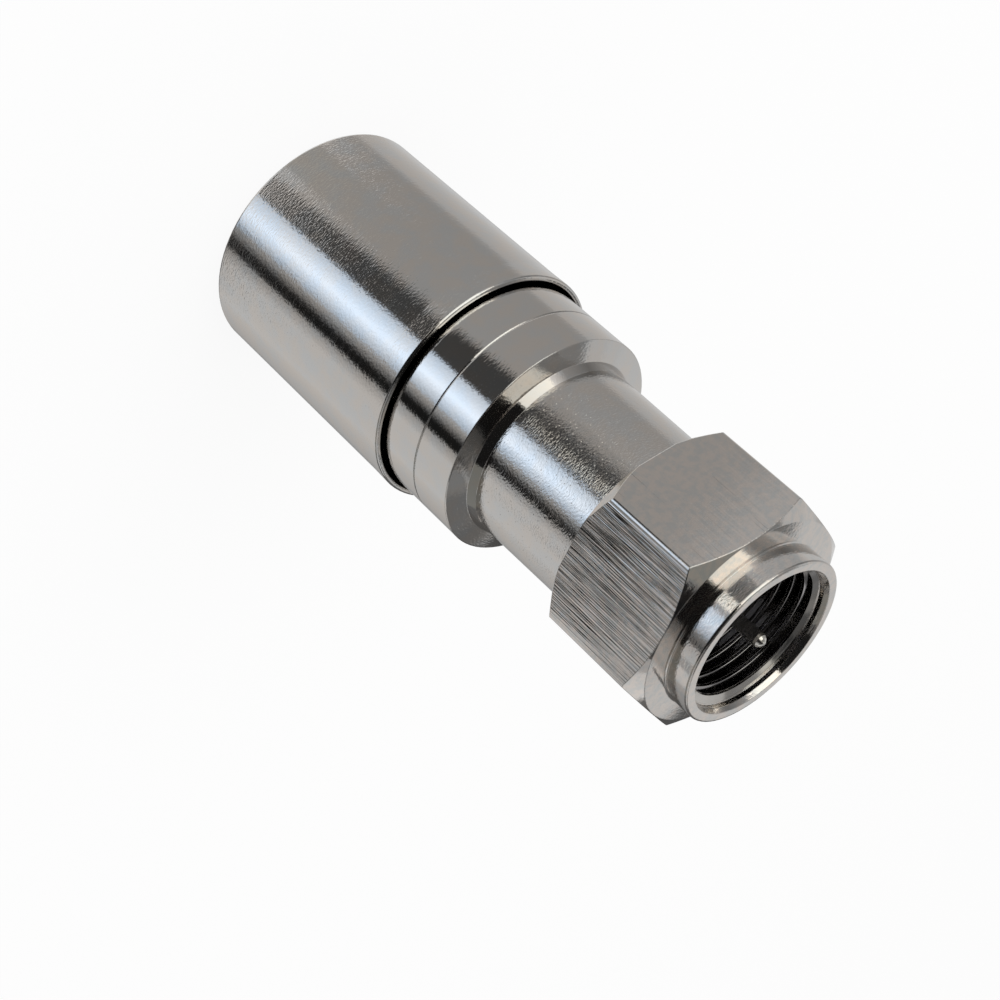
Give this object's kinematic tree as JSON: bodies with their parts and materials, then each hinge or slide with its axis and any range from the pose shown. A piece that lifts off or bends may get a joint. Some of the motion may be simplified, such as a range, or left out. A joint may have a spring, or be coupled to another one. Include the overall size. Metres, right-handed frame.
{
  "type": "f connector",
  "caption": "Coaxial F connector with a captive hexagon coupling nut, a stepped turned body, a rear compression sleeve and an insulated centre pin.",
  "frame": {"origin": "centre of the rear face of the compression sleeve, where the connector stands", "axes": "+Z along the axis, from the cable entry towards the coupling nut and the pin's tip; a corner of the nut's hexagon points along -Y"},
  "size_m": [0.016, 0.016, 0.0411],
  "materials": {
    "nut_nickel": "nickel plated, brushed flats and polished collar",
    "ring_nickel": "nickel plated, turned",
    "body_nickel": "nickel plated, fine peened texture over turning marks",
    "post_tin": "tin plated, turned",
    "sleeve_nickel": "nickel plated, satin turned grain",
    "grip_plastic": "moulded, natural colour",
    "insulator_plastic": "moulded, white, satin gloss",
    "pin_plate": "bright tin plate"
  },
  "bodies": {
    "connector": {"connector_body": "body_nickel", "front_ring": "ring_nickel", "inner_post": "post_tin", "pin_insulator": "insulator_plastic", "center_pin": "pin_plate"},
    "nut": {"coupling_nut": "nut_nickel"},
    "sleeve": {"compression_sleeve": "sleeve_nickel", "grip_ring": "grip_plastic"}
  },
  "joints": [
    {"name": "nut_spin", "type": "hinge", "parent": "connector", "child": "nut", "pos_m": [0, 0, 0.0363], "axis": [0, 0, 1], "continuous": true},
    {"name": "sleeve_compress", "type": "slide", "parent": "connector", "child": "sleeve", "axis": [0, 0, 1], "range_m": [0, 0.0054]}
  ]
}
